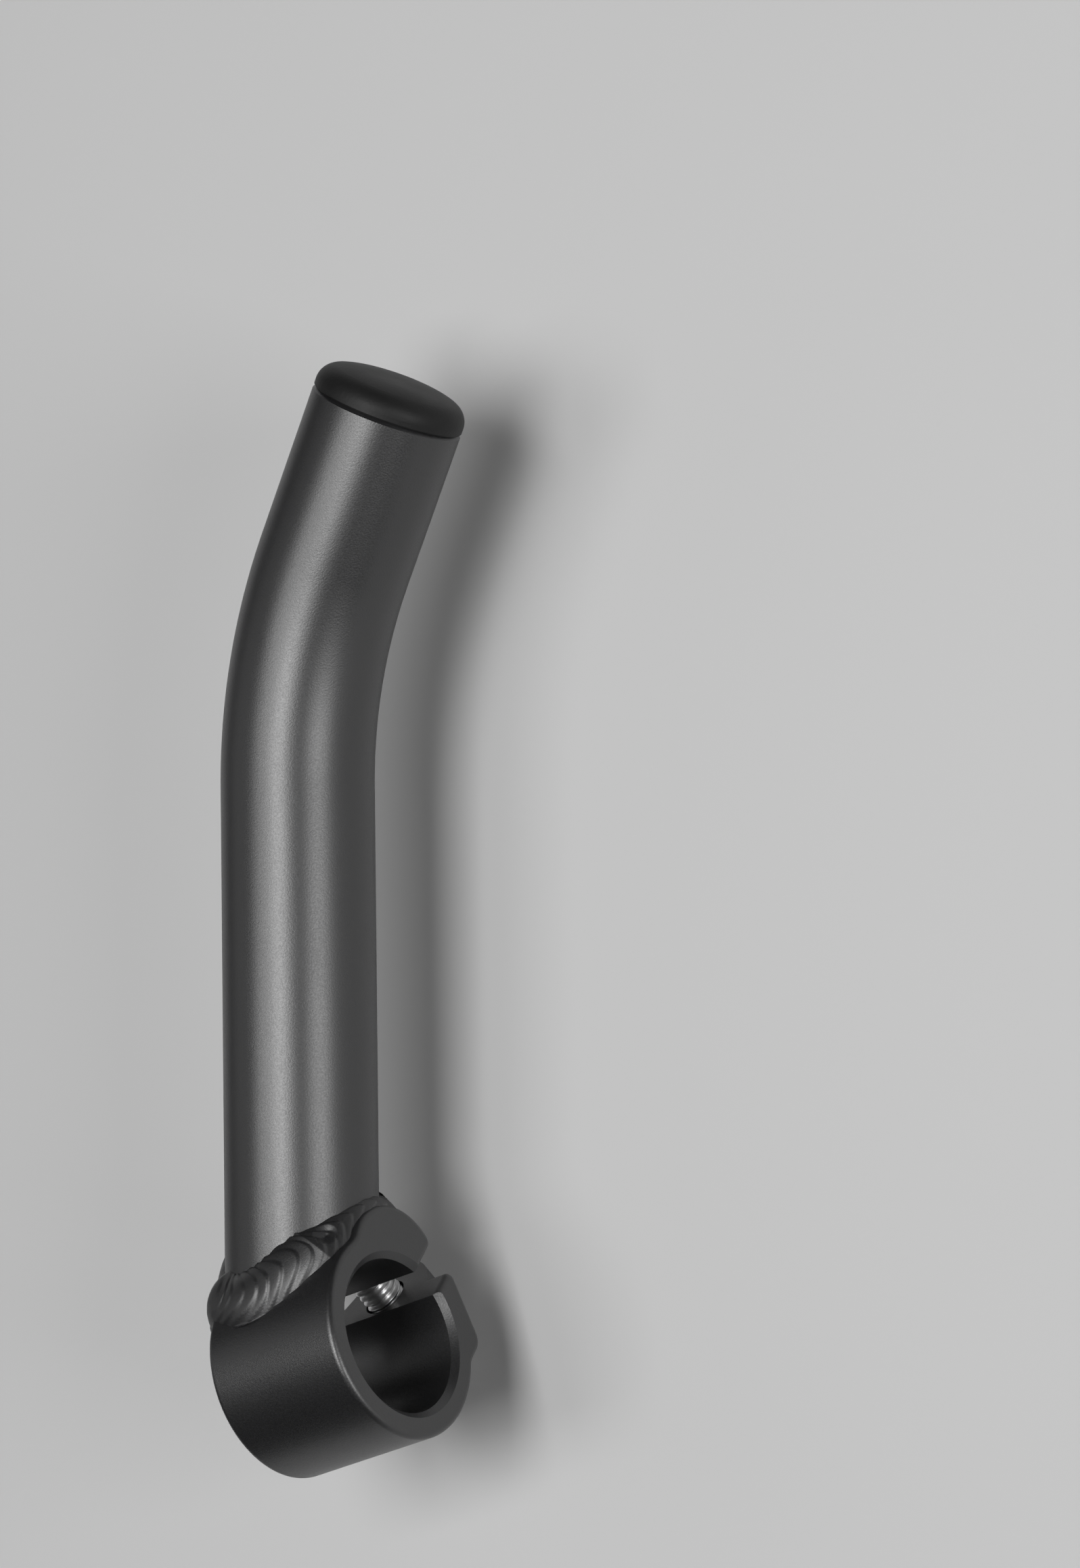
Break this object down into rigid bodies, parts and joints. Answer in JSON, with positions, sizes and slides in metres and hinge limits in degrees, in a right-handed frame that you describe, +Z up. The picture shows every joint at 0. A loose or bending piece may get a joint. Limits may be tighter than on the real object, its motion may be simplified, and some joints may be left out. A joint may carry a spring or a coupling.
{
  "type": "bicycle handlebar end",
  "caption": "Bent tubular bar end welded to a split clamp collar, with a pinch screw, washer and domed end plug.",
  "frame": {"origin": "middle of the clamp bore, on its axis, half way along the collar", "axes": "+X along the handlebar's axis towards the stem, +Y forwards in the plane of the bent tube, +Z up as fitted; made for the left end of a handlebar"},
  "size_m": [0.0736, 0.1487, 0.0399],
  "materials": {
    "black_alloy": "satin black coating on aluminium alloy",
    "black_plastic": "matte",
    "zinc_steel": "zinc plated"
  },
  "bodies": {
    "bar_end": {"clamp_collar": "black_alloy", "horn_tube": "black_alloy", "weld_bead": "black_alloy", "end_plug": "black_plastic"},
    "washer": {"screw_washer": "zinc_steel"},
    "screw": {"clamp_screw": "zinc_steel"}
  },
  "joints": [
    {"name": "screw_travel", "type": "slide", "parent": "bar_end", "child": "washer", "axis": [0, -0.766, -0.6428], "range_m": [0, 0.006]},
    {"name": "screw_turn", "type": "hinge", "parent": "washer", "child": "screw", "pos_m": [0, 0.00945, -0.01126], "axis": [0, -0.766, -0.6428], "range_deg": [0, 2160]}
  ],
  "couplings": [
    {"joint": "screw_turn", "follows": "screw_travel", "rad_per_m": 6283.2}
  ]
}
